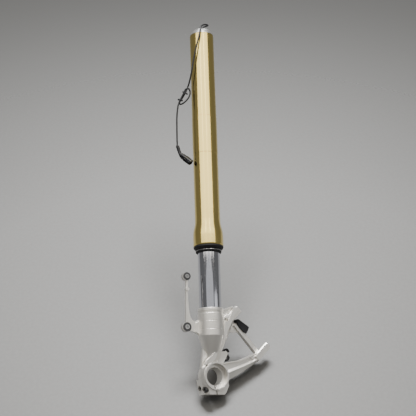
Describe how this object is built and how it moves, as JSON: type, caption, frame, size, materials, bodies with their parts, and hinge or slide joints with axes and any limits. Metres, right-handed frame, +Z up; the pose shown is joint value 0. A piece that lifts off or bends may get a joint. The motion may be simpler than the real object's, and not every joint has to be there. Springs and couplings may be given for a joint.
{
  "type": "inverted suspension fork leg",
  "caption": "Inverted fork leg: gold outer tube, chromed inner tube, cast foot with axle clamp, radial caliper lugs, mudguard arm and a cable to a damping valve.",
  "frame": {"origin": "centre of the axle clamp bore, on the mid plane of the leg", "axes": "+Z up the leg through the inner and outer tube; -Y out of the axle bore's large mouth, away from the wheel; +X towards the brake caliper lugs"},
  "size_m": [0.1979, 0.063, 0.8133],
  "materials": {
    "gold_anodised": "satin anodised gold",
    "cap_aluminium": "satin, machined",
    "cast_foot": "satin silver paint over cast aluminium",
    "chrome_tube": "polished hard chrome",
    "chrome_steel": "polished",
    "black_rubber": "matt",
    "grey_rubber": "matt",
    "black_plastic": "moulded, satin",
    "cable_jacket": "satin jacket",
    "steel": "zinc plated",
    "dark_steel": "black zinc",
    "spring_steel": "shot peened",
    "bush_metal": "bronze lined",
    "bare_aluminium": "turned"
  },
  "bodies": {
    "upper_leg": {"cable_outlet": "black_plastic", "cable_sleeve": "black_rubber", "cable_ties": "black_plastic", "cap_o_ring": "black_rubber", "connector_housing": "black_plastic", "connector_latch": "black_plastic", "connector_pins": "bush_metal", "connector_seal": "black_rubber", "damper_piston": "bare_aluminium", "damper_rod": "chrome_steel", "dust_seal": "black_rubber", "dust_seal_spring": "steel", "fork_cap": "cap_aluminium", "main_spring": "spring_steel", "oil_seal": "black_rubber", "outer_tube": "gold_anodised", "piston_band": "bush_metal", "piston_bolt": "steel", "preload_spacer": "bare_aluminium", "rod_locknut": "steel", "seal_clip": "steel", "seal_washer": "steel", "slide_bush": "bush_metal", "top_out_spring": "spring_steel", "upper_spring_seat": "bare_aluminium", "valve_cable": "cable_jacket"},
    "lower_leg": {"stanchion": "chrome_tube", "stanchion_bush": "bush_metal", "axle_foot": "cast_foot", "foot_o_ring": "black_rubber", "cartridge_tube": "bare_aluminium", "rod_guide": "bare_aluminium", "rod_bush": "bush_metal", "rod_seal": "black_rubber", "lower_spring_seat": "bare_aluminium", "foot_valve": "bare_aluminium", "foot_bolt": "steel", "foot_bolt_washer": "bush_metal", "pinch_bolts": "dark_steel", "lower_mudguard_grommet": "grey_rubber", "lower_mudguard_sleeve": "steel", "upper_mudguard_grommet": "grey_rubber", "upper_mudguard_sleeve": "steel", "hose_guide": "black_plastic", "cable_clip": "black_plastic", "clip_screw": "dark_steel"}
  },
  "joints": [
    {"name": "fork_travel", "type": "slide", "parent": "upper_leg", "child": "lower_leg", "axis": [0, 0, 1], "range_m": [0, 0.11], "stiffness_N_per_m": 9500, "springref_m": -0.01, "deforming": ["main_spring"]}
  ]
}
